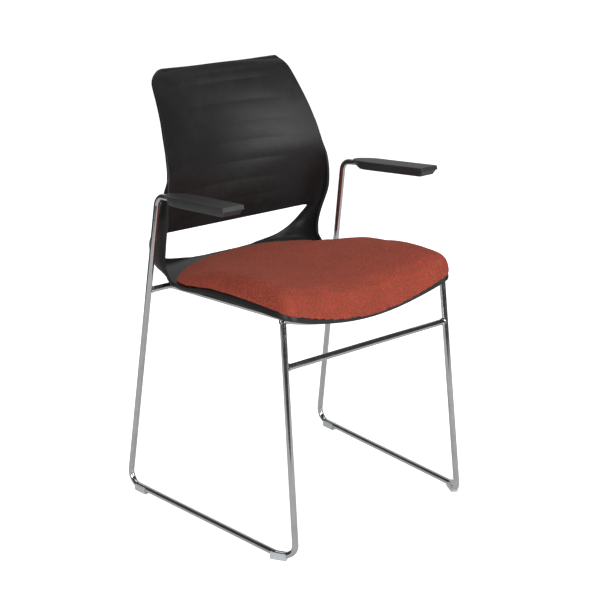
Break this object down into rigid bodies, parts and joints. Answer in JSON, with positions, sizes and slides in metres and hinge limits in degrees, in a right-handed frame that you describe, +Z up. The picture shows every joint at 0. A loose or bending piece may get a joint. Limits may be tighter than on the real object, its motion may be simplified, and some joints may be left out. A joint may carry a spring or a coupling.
{
  "type": "sled base visitor chair",
  "caption": "Stacking visitor chair: one-piece moulded seat and back shell with an upholstered seat pad, on a bent chromed rod sled frame with arm pads.",
  "frame": {"origin": "middle of the bounding box of the whole chair, on the floor under the glides", "axes": "+Z up, the sitter faces -Y, +X is the sitter's left"},
  "size_m": [0.5306, 0.4942, 0.8347],
  "materials": {
    "shell": "satin, fine moulded grain",
    "fabric": "woven melange upholstery",
    "chrome": "polished chrome plate",
    "steel": "zinc plated",
    "pad": "matt, fine grain",
    "glide": "translucent grey nylon",
    "board": "plain"
  },
  "bodies": {
    "root": {"seat_back_shell": "shell", "seat_cushion": "fabric", "seat_pad_board": "board", "front_seat_bar": "chrome", "side_frame_left": "chrome", "side_frame_right": "chrome", "seat_rail_left": "chrome", "seat_rail_right": "chrome", "front_cross_bar": "chrome", "rear_cross_bar": "chrome", "arm_pad_left": "pad", "seat_tab_front_left": "chrome", "seat_screw_front_left": "steel", "pad_screw_front_left": "steel", "arm_screw_front_left": "steel", "glide_front_left": "glide", "seat_tab_rear_left": "chrome", "seat_screw_rear_left": "steel", "pad_screw_rear_left": "steel", "arm_screw_rear_left": "steel", "glide_rear_left": "glide", "arm_pad_right": "pad", "seat_tab_front_right": "chrome", "seat_screw_front_right": "steel", "pad_screw_front_right": "steel", "arm_screw_front_right": "steel", "glide_front_right": "glide", "seat_tab_rear_right": "chrome", "seat_screw_rear_right": "steel", "pad_screw_rear_right": "steel", "arm_screw_rear_right": "steel", "glide_rear_right": "glide"}
  },
  "joints": []
}
